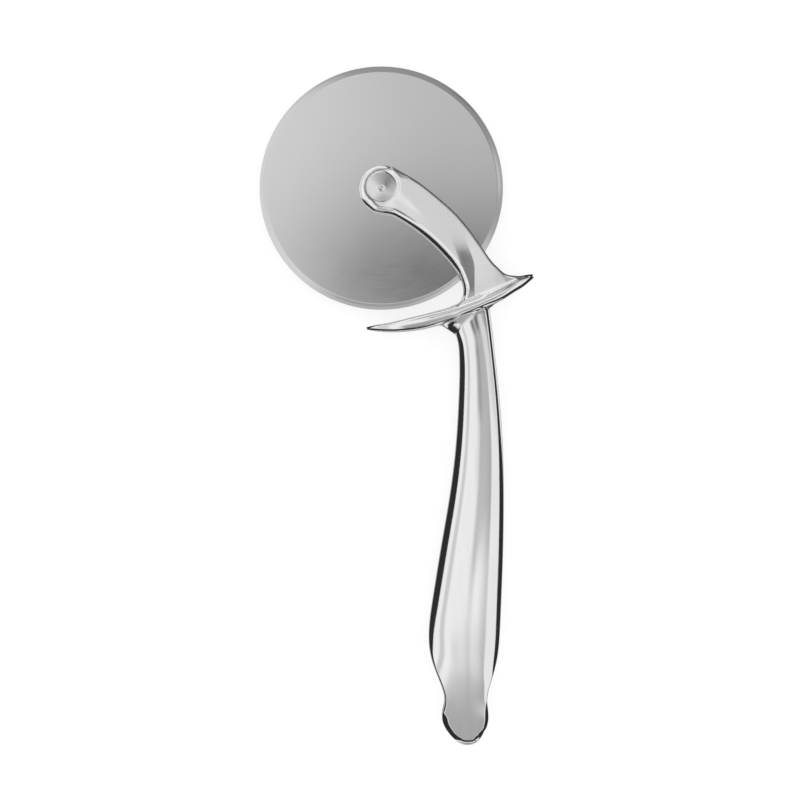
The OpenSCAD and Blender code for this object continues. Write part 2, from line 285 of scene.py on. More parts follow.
class Yoke:
    """Signed shape of the casting. Plan fields are laid out once on a fine grid."""

    pitch = 0.15
    x0, y0, x1, y1 = -14.0, -68.0, 61.0, 14.0

    def __init__(self):
        x = np.arange(self.x0, self.x1, self.pitch)
        y = np.arange(self.y0, self.y1, self.pitch)
        gx, gy = np.meshgrid(x, y, indexing="ij")
        up, low = curve(ARM_UPPER, 8), curve(ARM_LOWER, 8)
        gup, glow = curve(GUARD_UPPER, 8), curve(GUARD_LOWER, 8)
        fields = {}
        fields["u"], fields["l"] = line_distance(gx, gy, up), line_distance(gx, gy, low)
        poly = np.vstack([up, [[41, -40]], low])
        edge = line_distance(gx, gy, np.vstack([poly, poly[:1]]))
        arm = np.where(inside(gx, gy, poly), -edge, edge)
        fields["arm"] = smin(arm, np.hypot(gx - 0.25, gy + 0.55) - 8.45, 1.4 + 1.7 * step(gy, -1, -6))
        poly = np.vstack([gup, glow])
        crest = curve(GUARD_CREST, 8)
        fields["gu"], fields["gl"] = line_distance(gx, gy, crest), line_distance(gx, gy, glow)
        fields["above"] = np.where(gy > np.interp(gx, crest[:, 0], crest[:, 1]), 1.0, -1.0) * fields["gu"]
        edge = line_distance(gx, gy, np.vstack([poly, poly[:1]]))
        fields["guard"] = np.where(inside(gx, gy, poly), -edge, edge)
        plan = curve(GUARD_PLAN, 8)
        fields["plan"] = np.interp(gx, plan[:, 0], np.minimum(plan[:, 1], 7.5))
        # bolster and tenon sections, looked up by station
        for key, rows in (("b", [[25.6, -45.4, 41.6, -36.4, 6.3]] + BOLSTER),
                          ("t", [[c[0], c[1], c[2], c[3], c[4]] for c in HANDLE[:4]])):
            rows = np.array(rows, float)
            if key == "t":
                rows = soften(curve(rows, 10), 3)
            else:
                rows = curve(rows, 10)
            c = (rows[:, 0:2] + rows[:, 2:4]) / 2
            u = rows[:, 2:4] - rows[:, 0:2]
            w = np.linalg.norm(u, axis=1) / 2
            u = u / (2 * w[:, None])
            g = [(gx - c[j, 0]) * u[j, 1] - (gy - c[j, 1]) * u[j, 0] for j in range(len(rows))]
            below = sum((v > 0).astype(int) for v in g)
            j = np.clip(below - 1, 0, len(rows) - 2)
            g = np.stack(g)
            pick = lambda k: np.take_along_axis(g, k[None], 0)[0]
            ga, gb = pick(j), pick(j + 1)
            t = np.clip(ga / np.where(np.abs(ga - gb) < 1e-9, 1e-9, ga - gb), 0, 1)
            mix = lambda v: v[j] * (1 - t) + v[j + 1] * t
            cx, cy, ux, uy = mix(c[:, 0]), mix(c[:, 1]), mix(u[:, 0]), mix(u[:, 1])
            norm = np.hypot(ux, uy)
            fields[key + "a"] = ((gx - cx) * ux + (gy - cy) * uy) / norm
            fields[key + "w"], fields[key + "d"] = mix(w), mix(rows[:, 4])
            fields[key + "end"], fields[key + "top"] = g[-1], -g[0]
        self.names = list(fields)
        self.data = np.stack([fields[n] for n in self.names], -1).astype(np.float32)

    def read(self, x, y):
        fx = np.clip((x - self.x0) / self.pitch, 0, self.data.shape[0] - 1.001)
        fy = np.clip((y - self.y0) / self.pitch, 0, self.data.shape[1] - 1.001)
        i, j = fx.astype(int), fy.astype(int)
        a, b = (fx - i)[:, None], (fy - j)[:, None]
        d = self.data
        v = d[i, j] * (1 - a) * (1 - b) + d[i + 1, j] * a * (1 - b) + d[i, j + 1] * (1 - a) * b + d[i + 1, j + 1] * a * b
        return {n: v[:, k] for k, n in enumerate(self.names)}

    def top(self, x, y, F):
        """Half height of the casting over its middle plane."""
        # valley beside the inner rim, its far wall meeting it in a crease
        side = x - self.crease(y)
        deep = 0.60 * step(y, -13.0, -30) * step(y, -44, -41)
        valley = deep * np.where(side < 0, np.clip(1 + side / 5.4, 0, 1) ** 1.15, np.clip(1 - side / 15, 0, 1) ** 1.2)
        up = np.maximum(F["above"], 0)
        k = np.where(F["above"] > 0, 0, F["gu"] / np.maximum(F["gu"] + F["gl"], 1e-3))
        amount = np.minimum(0.95, 0.2 * (F["gu"] + F["gl"]))
        crown = F["plan"] - amount * np.abs(2 * k - 0.80) ** 2.2
        # the web sweeps up to the crest in a long cove
        rise = 0.45 * np.exp(-up / 2.0) + 0.55 * np.exp(-up / 6.5)
        web = 4.9 + (F["plan"] - 5.48) * rise
        prong = F["plan"] - 0.58 - 2.02 * (1 - rise)
        over = web + (prong - web) * step(x, 37, 45) - valley
        return np.where(F["above"] > 0, over, crown)

    @staticmethod
    def crease(y):
        return 34.3 - 3.4 * step(y, -30, -17)

    def __call__(self, x, y, z):
        F = self.read(x, y)
        q = np.abs(z - H)
        rho = np.hypot(x, y)
        lower = step((F["u"] - F["l"]) / (F["u"] + F["l"] + 1e-6), -0.25, 0.35)
        tip = step(rho, 13, 7)
        near = step(F["guard"], 3.0, 0.0)
        outline = smin(F["arm"], F["guard"], 0.5 + 3.7 * step(x, 36, 42))
        # rim: a broad round, then a steep bevel that is widest halfway down the arm
        under = lower * step(-y / np.maximum(rho, 1e-6), 0.42, 0.70)
        bevel = under * (0.80 + 0.40 * step(rho, 12, 27) - 0.45 * step(rho, 36, 47)) + (0.34 + 0.16 * step(x, 2.0, 8.0)) * (1 - lower) * step(x, -8.5, -1.0)
        bevel = bevel * (1 - near) + near * (0.10 + 0.55 * step(x, 14, 26) * (1 - 0.8 * step(x, 36, 45)) + 0.2 * step(x, -3, -5))
        width = np.maximum(0.5 + 0.85 * lower, 1.95 * tip) * (1 - near) + 0.9 * near
        ring = width / 0.588
        t = np.clip((bevel + width + outline) / ring, 0, 0.588)
        drop = ring * (1 - np.sqrt(1 - t * t)) + 1.1 * np.maximum(bevel + outline, 0)
        # shallow recess for the rivet's head, fading out along the arm, open at the upper side
        margin = 1.35 + 0.65 * np.maximum(lower, tip) - 3.4 * (1 - lower) * step(x, 1.0, 10.0)
        floor = 4.05 + 0.42 * step(x, 1.0, 5.5) + 0.50 * step(x, 3, 19) \
            + 0.45 * (1 - lower) * step(x, 0.5, 5.0) * step(rho, 5.9, 7.6)
        dish = smin(rho - 6.05, smax(F["arm"] + margin, -2.5 - x, 1.0), 1.0)
        top = self.top(x, y, F)
        sunk = smin(top, floor, 0.12)
        soft = 0.32 + 1.3 * (1 - lower) * step(x, 0.5, 4.0)
        top = top + (sunk - top) * step(dish, soft, -soft) * (z > H) * step(rho, 30, 22)
        f = smax(outline, (q - top + drop) * 0.85, 0.12)
        f = smax(f, -smax(rho - 46.0, q - 1.3, 0.1), 0.2)
        f = smax(f, -(rho - 2.52), 0.1)
        # bolster, its sections arched towards the guard
        for key, cut in (("b", 0.0), ("t", 1.2)):
            arch = 2.2 * np.clip(q / 6.0, 0, 1) ** 1.15
            B = self.read(x + 0.56 * arch, y - 0.83 * arch)
            bw, bd = B[key + "w"] - cut, B[key + "d"] - cut
            e = ((np.abs(B[key + "a"]) / bw) ** SECTION_N + (q / bd) ** SECTION_N) ** (1 / SECTION_N)
            g = (e - 1) * np.minimum(bw, bd)
            if key == "b":
                g = round_join(g, B["bend"], 0.3)
                g = smax(smax(g, B["btop"], 0.5), F["above"] - 0.2, 0.5)
                f = smin(f, g, 0.9 + 1.6 * step(x, 31, 26) * step(F["above"], -1.5, -4.0))
            else:
                g = smax(smax(smax(g, B["tend"] + 4.0, 0.3), B["ttop"] - 2.0, 0.3), -61.8 - y, 0.3)
                f = smin(f, g, 0.2)
        return f


def build_yoke():
    shape = Yoke()
    h = 0.27
    lo, hi = np.array([-9.4, -63.0, -0.8]), np.array([57.8, 9.4, 15.8])
    n = np.ceil((hi - lo) / h).astype(int) + 1
    axes = [lo[i] + h * np.arange(n[i]) for i in range(3)]
    values = np.empty(n, np.float32)
    yy, zz = np.meshgrid(axes[1], axes[2], indexing="ij")
    for i in range(0, n[0], 8):
        xs = axes[0][i:i + 8]
        shp = (len(xs),) + yy.shape
        X = np.broadcast_to(xs[:, None, None], shp).ravel()
        values[i:i + 8] = shape(X, np.broadcast_to(yy, shp).ravel(), np.broadcast_to(zz, shp).ravel()).reshape(shp)
    verts, quads = surface_net(values, lo, h)
    verts, normals = polish_onto(shape, verts, h)
    F = shape.read(verts[:, 0], verts[:, 1])
    rho = np.hypot(verts[:, 0], verts[:, 1])
    # satin: the broad faces of arms and web; polished: rims, guard, bolster and the valley. The same mask also sets
    # painted shade: the base colour is lighter on the satin faces and darker on the polished rims, guard, bolster, slot
    # and valley.
    lower = step((F["u"] - F["l"]) / (F["u"] + F["l"] + 1e-6), -0.25, 0.35)
    lower = np.maximum(lower, step(rho, 14, 9))
    flat = step(np.abs(normals[:, 2]), 0.55 + 0.35 * lower, 0.80 + 0.17 * lower)
    x, y = verts[:, 0], verts[:, 1]
    side = x - shape.crease(y)
    valley = step(side, 0.3, -0.3) * step(side, -6.4, -4.2) * step(y, -18, -25) * step(F["arm"], -0.9, -1.7)
    satin_and_painted_shade = flat * step(F["arm"] + 1.5 * lower, -0.2, -1.0) * step(F["above"], 0.2, 1.6) * (1 - 0.9 * valley)
    slot = (np.abs(verts[:, 2] - H) < 1.6) & (rho < 47)
    satin_and_painted_shade = np.where(slot, 0.6, satin_and_painted_shade)
    ob = mesh_object("yoke_casting", verts, quads, normals, {"satin_and_painted_shade": satin_and_painted_shade, "valley": valley})

    # tang, hidden in the handle, with its two keying holes
    def tang(a, b, c):
        a, b = a - 34.9, b + 50
        ang = math.radians(-1)
        u, v = a * math.cos(ang) - b * math.sin(ang), a * math.sin(ang) + b * math.cos(ang)
        box = smax(smax(np.abs(u) - 3, np.abs(v + 23) - 23, 0.5), np.abs(c - H) - 1.5, 0.5)
        for k in (0.55, 0.82):
            box = smax(box, 1.5 - np.hypot(u, v + 46 * k), 0.2)
        return box

    h = 0.5
    lo, hi = np.array([30.0, -98.0, 5.0]), np.array([40.5, -48.5, 10.0])
    n = np.ceil((hi - lo) / h).astype(int) + 1
    g = np.meshgrid(*[lo[i] + h * np.arange(n[i]) for i in range(3)], indexing="ij")
    tv, tq = surface_net(tang(*[a.ravel() for a in g]).reshape(n), lo, h)
    tv, tn = polish_onto(tang, tv, h)
    return ob, mesh_object("tang_bar", tv, tq, tn, {"satin_and_painted_shade": np.full(len(tv), 0.8), "valley": np.zeros(len(tv))})


# ---- Handle: two pressed shells ---------------------------------------------

def handle_rings(count):
    rows = np.array(HANDLE)
    t = np.concatenate([[0], np.cumsum(np.sqrt((np.diff(rows[:, :4], axis=0) ** 2).sum(1) / 2 + (np.diff(rows[:, 4:], axis=0) ** 2).sum(1)))])
    fine = np.linspace(0, t[-1], 2000)
    dense = spline(t, rows, fine)
    soft = soften(dense, 4.2 / (fine[1] - fine[0]))
    keep = step(fine, 4, 14) * step(fine, t[-1] - 18, t[-1] - 34)
    dense = dense * (1 - keep[:, None]) + soft * keep[:, None]
    k = np.linspace(0, 1, count)
    q = t[-1] * (k - 0.055 * np.sin(2 * math.pi * k) / (2 * math.pi) * 4)
    out = np.stack([np.interp(q, fine, dense[:, c]) for c in range(6)], 1)
    return q, out, np.interp(q, t, np.arange(len(rows)))


def half_shell(name, side):
    count, m = 300, 72
    q, rows, number = handle_rings(count)
    c = (rows[:, 0:2] + rows[:, 2:4]) / 2
    u = rows[:, 2:4] - rows[:, 0:2]
    w = np.linalg.norm(u, axis=1) / 2
    u = u / (2 * w[:, None])
    p = np.stack([-u[:, 1], u[:, 0]], 1)
    d = rows[:, 4] if side > 0 else rows[:, 5]
    rise = 2.2 * np.maximum(0, 1 - number / 3.5) ** 2
    n = np.full(count, SECTION_N)
    butt = None
    plan = np.vstack([rows[:, 0:2], rows[::-1, 2:4]])
    # chamfer at the arched rim, fine V at the weld seam
    rim = np.clip(1 - q / 0.5, 0, 1) * 0.42
    k = np.linspace(0, 1, m + 1)
    ang = math.pi * (1 - k)
    cosa, sina = np.cos(ang)[None], np.sin(ang)[None]
    e = (2 / n)[:, None]
    px = np.sign(cosa) * np.abs(cosa) ** e
    butt = step(number[:, None] - np.where(px < 0, 0.45, 0.9) * px, 11.6, 14.9)
    pz = np.maximum(sina, 0) ** e

    def surface(dw):
        ww = np.maximum(w - dw, 0.02)[:, None]
        dd = np.maximum(d - dw, 0.02)[:, None]
        a = px * ww
        x = c[:, 0:1] + u[:, 0:1] * a + p[:, 0:1] * (rise[:, None] * sina)
        y = c[:, 1:2] + u[:, 1:2] * a + p[:, 1:2] * (rise[:, None] * sina)
        b = pz * dd
        # towards the butt the face runs on as one crowned plane, cut off by the outline
        far = butt.max(1) > 0
        xf, yf = x[far], y[far]
        edge = np.maximum(line_distance(xf, yf, plan) - dw[far][:, None], 0)
        t = np.clip(-162 - yf, -4, 44)
        v = xf - 31.3
        flat = np.where(v < 0, step(yf, -166, -190), step(yf, -188, -196))
        round2, round4 = np.where(v < 0, 0.0150, 0.0120), np.where(v < 0, 0.00006, 0.00013)
        face = 7.1 - 0.035 * t - 0.0016 * t * t - (round2 + (0.005 - round2) * flat) * v ** 2 - round4 * (1 - 0.7 * flat) * v ** 4
        face = face - dw[far][:, None] - (0 if side > 0 else -0.3)
        # steep bevel round the end, with a lip outside it at the bottom
        left, low = step(v, 5.5, 3.5), step(yf, -199.0, -201.5)
        lip = 1.25 * step(v, -5.0, -1.5) * low
        bevel = left * step(yf, -192.2, -196.0) * (2.0 - 1.0 * step(v, -5.5, -1.5)) \
            + (1 - left) * step(yf, -186.5, -195) * step(yf, -204, -197.5) * 1.5
        cut = face + 1.05 * smin(edge - bevel - lip, 0 * edge, 0.12) + 0.75 * smin(edge - lip, 0 * edge, 0.12)
        turn = np.clip(edge / (np.where(v < 0, 0.85, 0.42) * (1 - 0.75 * np.clip(bevel, 0, 1))), 0, 1)
        face = np.maximum(cut, 0.1) * np.sqrt(np.maximum(1 - (1 - turn) ** 2, 0))
        b[far] = b[far] * (1 - butt[far]) + np.maximum(face, 0) * butt[far]
        return np.stack([x, y, H + side * b], -1)

    outer = surface(rim)
    inner = surface(np.minimum(1.1, 0.7 * np.minimum(w, d)))
    du, dv = np.gradient(outer, axis=0), np.gradient(outer, axis=1)
    nrm = np.cross(du, dv) * (1 if side > 0 else -1)
    ln = np.linalg.norm(nrm, axis=-1, keepdims=True)
    nrm = nrm / np.maximum(ln, 1e-12)
    mid = np.stack([outer[..., 0] - c[:, 0:1], outer[..., 1] - c[:, 1:2], outer[..., 2] - H], -1)
    sign = np.sign((nrm[count // 2] * mid[count // 2]).sum())
    nrm = nrm * sign
    seam = 0.09
    outer[:, 0, :2] += u * seam
    outer[:, -1, :2] -= u * seam
    pole_n = np.array([0, -1.0, 0])
    verts = np.vstack([outer.reshape(-1, 3), inner.reshape(-1, 3)])
    norms = np.vstack([nrm.reshape(-1, 3), -nrm.reshape(-1, 3)])
    row = m + 1
    O = lambda i, j: i * row + j
    I = lambda i, j: count * row + i * row + j
    po, pi = len(verts), len(verts) + 1
    tipc = c[-1]
    verts = np.vstack([verts, [[tipc[0], tipc[1] - 0.05, H]], [[tipc[0], tipc[1] + 1.2, H]]])
    norms = np.vstack([norms, pole_n[None], -pole_n[None]])
    faces = []
    for i in range(count - 1):
        for j in range(m):
            faces.append([O(i, j), O(i + 1, j), O(i + 1, j + 1), O(i, j + 1)])
            faces.append([I(i, j), I(i, j + 1), I(i + 1, j + 1), I(i + 1, j)])
        faces.append([O(i, 0), I(i, 0), I(i + 1, 0), O(i + 1, 0)])
        faces.append([O(i, m), O(i + 1, m), I(i + 1, m), I(i, m)])
    for j in range(m):
        faces.append([O(0, j), O(0, j + 1), I(0, j + 1), I(0, j)])
        faces.append([O(count - 1, j), po, O(count - 1, j + 1)])
        faces.append([I(count - 1, j), I(count - 1, j + 1), pi])
    faces.append([O(count - 1, 0), I(count - 1, 0), pi, po])
    faces.append([O(count - 1, m), po, pi, I(count - 1, m)])
    # outer grid winding decides the sense of all faces
    a, b, cc = outer[count // 2, m // 2], outer[count // 2 + 1, m // 2], outer[count // 2 + 1, m // 2 + 1]
    if np.dot(np.cross(b - a, cc - a), nrm[count // 2, m // 2]) < 0:
        faces = [f[::-1] for f in faces]
    ob = mesh_object(name, verts, faces, None)
    me = ob.data
    loops = np.zeros((len(me.loops), 3))
    vi = np.zeros(len(me.loops), int)
    me.loops.foreach_get("vertex_index", vi)
    fn = np.zeros(len(me.polygons) * 3)
    me.polygons.foreach_get("normal", fn)
    fn = fn.reshape(-1, 3)
    starts = np.zeros(len(me.polygons), int)
    totals = np.zeros(len(me.polygons), int)
    me.polygons.foreach_get("loop_start", starts)
    me.polygons.foreach_get("loop_total", totals)
    poly_of = np.repeat(np.arange(len(me.polygons)), totals)
    loops[:] = norms[vi]
    flat = (loops * fn[poly_of]).sum(1) < 0.55       # rims and end walls keep their own flat normals
    loops[flat] = fn[poly_of][flat]
    me.normals_split_custom_set(loops.tolist())
    return ob


# ---- Materials ---------------------------------------------------------------

class Nodes:
    """Short spelling for shader node trees."""

    def __init__(self, tree):
        self.tree = tree

    def add(self, kind, **props):
        n = self.tree.nodes.new(kind)
        for k, v in props.items():
            setattr(n, k, v)
        return n

    def link(self, a, b):
        self.tree.links.new(a, b)

    def put(self, socket, value):
        if hasattr(value, "is_output"):
            self.link(value, socket)
        else:
            socket.default_value = value

    def math(self, op, *args):
        n = self.add("ShaderNodeMath", operation=op)
        for i, v in enumerate(args):
            self.put(n.inputs[i], v)
        return n.outputs[0]

    def ramp(self, v, a, b, lo=0.0, hi=1.0, smooth=True):
        n = self.add("ShaderNodeMapRange", interpolation_type="SMOOTHSTEP" if smooth else "LINEAR")
        n.clamp = True
        self.put(n.inputs[0], v)
        for i, x in enumerate((a, b, lo, hi)):
            self.put(n.inputs[i + 1], x)
        return n.outputs[0]

    def mix(self, f, a, b):
        n = self.add("ShaderNodeMix", data_type="FLOAT")
        self.put(n.inputs[0], f)
        self.put(n.inputs[2], a)
        self.put(n.inputs[3], b)
        return n.outputs[0]

    def mix_color(self, f, a, b):
        n = self.add("ShaderNodeMix", data_type="RGBA")
        self.put(n.inputs[0], f)
        self.put(n.inputs[6], a)
        self.put(n.inputs[7], b)
        return n.outputs[2]

    def noise(self, vector, scale, detail=3.0, rough=0.5):
        n = self.add("ShaderNodeTexNoise")
        self.put(n.inputs["Vector"], vector)
        n.inputs["Scale"].default_value = scale
        n.inputs["Detail"].default_value = detail
        n.inputs["Roughness"].default_value = rough
        return n.outputs[0]

    def combine(self, x, y, z):
        n = self.add("ShaderNodeCombineXYZ")
        for i, v in enumerate((x, y, z)):
            self.put(n.inputs[i], v)
        return n.outputs[0]


def metal(name, color, build, spread=0.035):
    """A metal whose roughness, tint and bump come from build(nodes, position)."""
    mat = bpy.data.materials.new(name)
    mat.use_nodes = True
    tree = mat.node_tree
    tree.nodes.clear()
    N = Nodes(tree)
    out = N.add("ShaderNodeOutputMaterial")
    bsdf = N.add("ShaderNodeBsdfPrincipled")
    bsdf.inputs["Metallic"].default_value = 1.0
    N.link(bsdf.outputs[0], out.inputs[0])
    pos = N.add("ShaderNodeTexCoord").outputs["Object"]
    tint, rough, height, strength, distance = build(N, pos)
    lo = tuple(c * (1 - spread) for c in color) + (1,)
    N.link(N.mix_color(tint, lo, tuple(color) + (1,)), bsdf.inputs["Base Color"])
    N.link(rough, bsdf.inputs["Roughness"])
    if height is not None:
        bump = N.add("ShaderNodeBump")
        bump.inputs["Strength"].default_value = strength
        bump.inputs["Distance"].default_value = distance
        N.link(height, bump.inputs["Height"])
        N.link(bump.outputs[0], bsdf.inputs["Normal"])
    return mat


def polar(N, pos, ring_scale, along_scale):
    """Coordinates that make noise run in rings round the wheel's axis."""
    sep = N.add("ShaderNodeSeparateXYZ")
    N.link(pos, sep.inputs[0])
    r = N.math("SQRT", N.math("ADD", N.math("MULTIPLY", sep.outputs[0], sep.outputs[0]),
                              N.math("MULTIPLY", sep.outputs[1], sep.outputs[1])))
    inv = N.math("MAXIMUM", r, 1e-5)
    cx = N.math("DIVIDE", sep.outputs[0], inv)
    cy = N.math("DIVIDE", sep.outputs[1], inv)
    return r, N.combine(N.math("MULTIPLY", r, ring_scale), N.math("MULTIPLY", cx, along_scale),
                        N.math("MULTIPLY", cy, along_scale))


def blade_material():
    def build(N, pos):
        r, rings = polar(N, pos, 900.0, 1.4)
        fine = N.noise(rings, 4.0, 4.0, 0.65)
        blot = N.noise(pos, 55.0, 3.0)
        bevel = N.ramp(r, 0.0427, 0.0431)
        rough = N.math("ADD", N.mix(bevel, 0.115, 0.13), N.math("MULTIPLY", N.math("SUBTRACT", blot, 0.5), 0.03))
        rough = N.math("ADD", rough, N.math("MULTIPLY", N.math("SUBTRACT", fine, 0.5), 0.05))
        tint = N.ramp(N.math("ADD", N.math("MULTIPLY", fine, 0.5), N.math("MULTIPLY", blot, 0.5)), 0.3, 0.7)
        return tint, rough, fine, 0.022, 0.00004
    return metal("blade_satin", (0.70, 0.70, 0.705), build)


def cast_material():
    def build(N, pos):
        satin_and_painted_shade = N.add("ShaderNodeAttribute", attribute_name="satin_and_painted_shade").outputs["Fac"]
        grain = N.noise(pos, 2600.0, 2.0, 0.6)
        patch = N.noise(pos, 130.0, 3.0)
        stretch = N.add("ShaderNodeMapping")
        N.link(pos, stretch.inputs[0])
        stretch.inputs["Rotation"].default_value = (0, 0, math.radians(38))
        stretch.inputs["Scale"].default_value = (1.0, 9.0, 1.0)
        brush = N.noise(stretch.outputs[0], 260.0, 4.0, 0.6)
        rough = N.mix(satin_and_painted_shade, N.ramp(patch, 0.3, 0.7, 0.10, 0.15), N.ramp(brush, 0.3, 0.7, 0.34, 0.46))
        tint = N.ramp(N.math("ADD", N.math("MULTIPLY", grain, 0.5), N.math("MULTIPLY", brush, 0.5)), 0.3, 0.7)
        # painted shade: the satin mask lifts the base colour of the broad faces, leaving rims, guard, bolster, slot and
        # valley darker
        tint = N.math("ADD", N.math("MULTIPLY", tint, 0.40), N.math("MULTIPLY", satin_and_painted_shade, 0.60))
        height = N.math("MULTIPLY", N.math("ADD", grain, brush), N.math("ADD", satin_and_painted_shade, 0.04))
        return tint, rough, height, 0.10, 0.00003
    return metal("cast_steel_faces", (0.985, 0.985, 0.985), build, 0.10)


def rivet_material():
    def build(N, pos):
        r, rings = polar(N, pos, 2500.0, 1.2)
        fine = N.noise(rings, 3.0, 3.0, 0.6)
        blot = N.noise(pos, 420.0, 3.0)
        rough = N.math("ADD", N.ramp(blot, 0.3, 0.7, 0.21, 0.28), N.math("MULTIPLY", fine, 0.04))
        return N.ramp(fine, 0.3, 0.7), rough, N.math("ADD", fine, N.math("MULTIPLY", blot, 0.5)), 0.03, 0.00004
    return metal("axle_satin", (0.80, 0.80, 0.80), build)


def handle_material():
    def build(N, pos):
        stretch = N.add("ShaderNodeMapping")
        N.link(pos, stretch.inputs[0])
        stretch.inputs["Scale"].default_value = (1.0, 0.12, 1.0)
        wipe = N.noise(stretch.outputs[0], 420.0, 3.0, 0.55)
        blot = N.noise(pos, 35.0, 2.0)
        hair = N.noise(stretch.outputs[0], 2400.0, 2.0, 0.5)
        rough = N.math("ADD", N.ramp(blot, 0.3, 0.7, 0.085, 0.125), N.math("MULTIPLY", N.ramp(hair, 0.62, 0.8), 0.05))
        tint = N.ramp(wipe, 0.25, 0.75)
        return tint, rough, N.math("ADD", wipe, N.math("MULTIPLY", hair, 0.4)), 0.015, 0.00003
    return metal("handle_polish", (0.90, 0.90, 0.90), build)


def plastic(name, dark, light, rough_lo, rough_hi, scale, strength):
    mat = bpy.data.materials.new(name)
    mat.use_nodes = True
    N = Nodes(mat.node_tree)
    bsdf = mat.node_tree.nodes["Principled BSDF"]
    pos = N.add("ShaderNodeTexCoord").outputs["Object"]
    coarse, fine = N.noise(pos, scale, 3.0), N.noise(pos, scale * 9, 3.0)
    N.link(N.mix_color(coarse, dark + (1,), light + (1,)), bsdf.inputs["Base Color"])
    N.link(N.ramp(fine, 0.3, 0.7, rough_lo, rough_hi), bsdf.inputs["Roughness"])
    bump = N.add("ShaderNodeBump")
    bump.inputs["Strength"].default_value = strength
    bump.inputs["Distance"].default_value = 0.00005
    N.link(fine, bump.inputs["Height"])
    N.link(bump.outputs[0], bsdf.inputs["Normal"])
    return mat


# ---- Pieces -----------------------------------------------------------------

def piece(ob, mat, body, slot, *nodes):
    ob.data.materials.clear()
    ob.data.materials.append(mat)
    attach(ob, body)
    if nodes:
        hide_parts(*nodes)
    return ob


blade = revolve("wheel_disc", [(4.02, H - 0.6), (R - 2.1, H - 0.6), (R - 1.05, H - 0.325), (R, H - 0.1),
                               (R, H + 0.1), (R - 1.05, H + 0.325), (R - 2.1, H + 0.6), (4.02, H + 0.6)], 360, 8.0)
piece(blade, blade_material(), "wheel_body", "blade_steel", "cutting_wheel")

acetal = plastic("acetal_natural", (0.66, 0.63, 0.55), (0.80, 0.78, 0.71), 0.38, 0.5, 300.0, 0.15)
for word, node, s in (("front", "bushing_front", 1), ("rear", "bushing_rear", -1)):
    prof = [(2.56, 0.0), (4.0, 0.0), (4.0, 0.6), (6.6, 0.6), (6.6, 1.2), (2.56, 1.2)]
    prof = [(r, H + s * z) for r, z in prof]
    ob = revolve("bushing_flange_" + word, prof if s > 0 else prof[::-1], 128)
    piece(ob, acetal, "wheel_body", "bushing_acetal", node)

seat = 11.6
head = [(0, 0.9), (2.2, 0.9), (2.5, 1.2), (2.5, seat), (5.7, seat), (5.7, seat + 0.42)]
for k in range(1, 9):   # soft shoulder running into a shallow cone
    t = k / 8
    head.append((5.7 - 0.75 * t, seat + 0.42 + 0.42 * math.sin(t * math.pi / 2)))
for k in range(1, 9):
    t = k / 8
    head.append((4.95 - 3.65 * t, seat + 0.84 + 0.78 * (t * (1.25 - 0.25 * t))))
head += [(0.98, seat + 1.56), (0.62, seat + 1.42), (0.28, seat + 1.26), (0, seat + 1.18)]
satin_axle = rivet_material()
rivet = revolve("rivet_head_pin", head, 128, 20)
for v in rivet.data.vertices:   # the peened point sits a little off centre
    if v.co.z * 1000 > seat + 0.3:
        w = max(0.0, 1 - math.hypot(v.co.x, v.co.y) / 0.0057)
        v.co.x, v.co.y = v.co.x + 0.0004 * w, v.co.y - 0.0010 * w
piece(rivet, satin_axle, "frame_body", "axle_steel", "axle_rivet")
cap = [(0, 0), (4.6, 0)]
for k in range(1, 9):
    t = k / 8 * math.pi / 2
    cap.append((4.6 + 1.1 * math.sin(t), 1.1 * (1 - math.cos(t))))
cap += [(5.7, 2.6), (2.52, 2.6), (2.52, 0.85), (0, 0.85)]
piece(revolve("rear_cap", cap, 128, 20), satin_axle, "frame_body", "axle_steel", "axle_cap")

cast = cast_material()
yoke, tang = build_yoke()
tang.parent = None
bpy.ops.object.select_all(action="DESELECT")
piece(yoke, cast, "frame_body", "cast_steel", "yoke")
piece(tang, cast, "frame_body", "cast_steel", "yoke")

polish = handle_material()
piece(half_shell("handle_shell_front", 1), polish, "frame_body", "handle_steel", "handle_front_shell")
piece(half_shell("handle_shell_back", -1), polish, "frame_body", "handle_steel", "handle_back_shell")

resin = plastic("tang_resin", (0.30, 0.24, 0.17), (0.42, 0.35, 0.25), 0.45, 0.65, 180.0, 0.3)
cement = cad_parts["tang_cement"]
cement.data.materials.clear()
cement.data.materials.append(resin)


# ---- Stage, light, camera ----------------------------------------------------

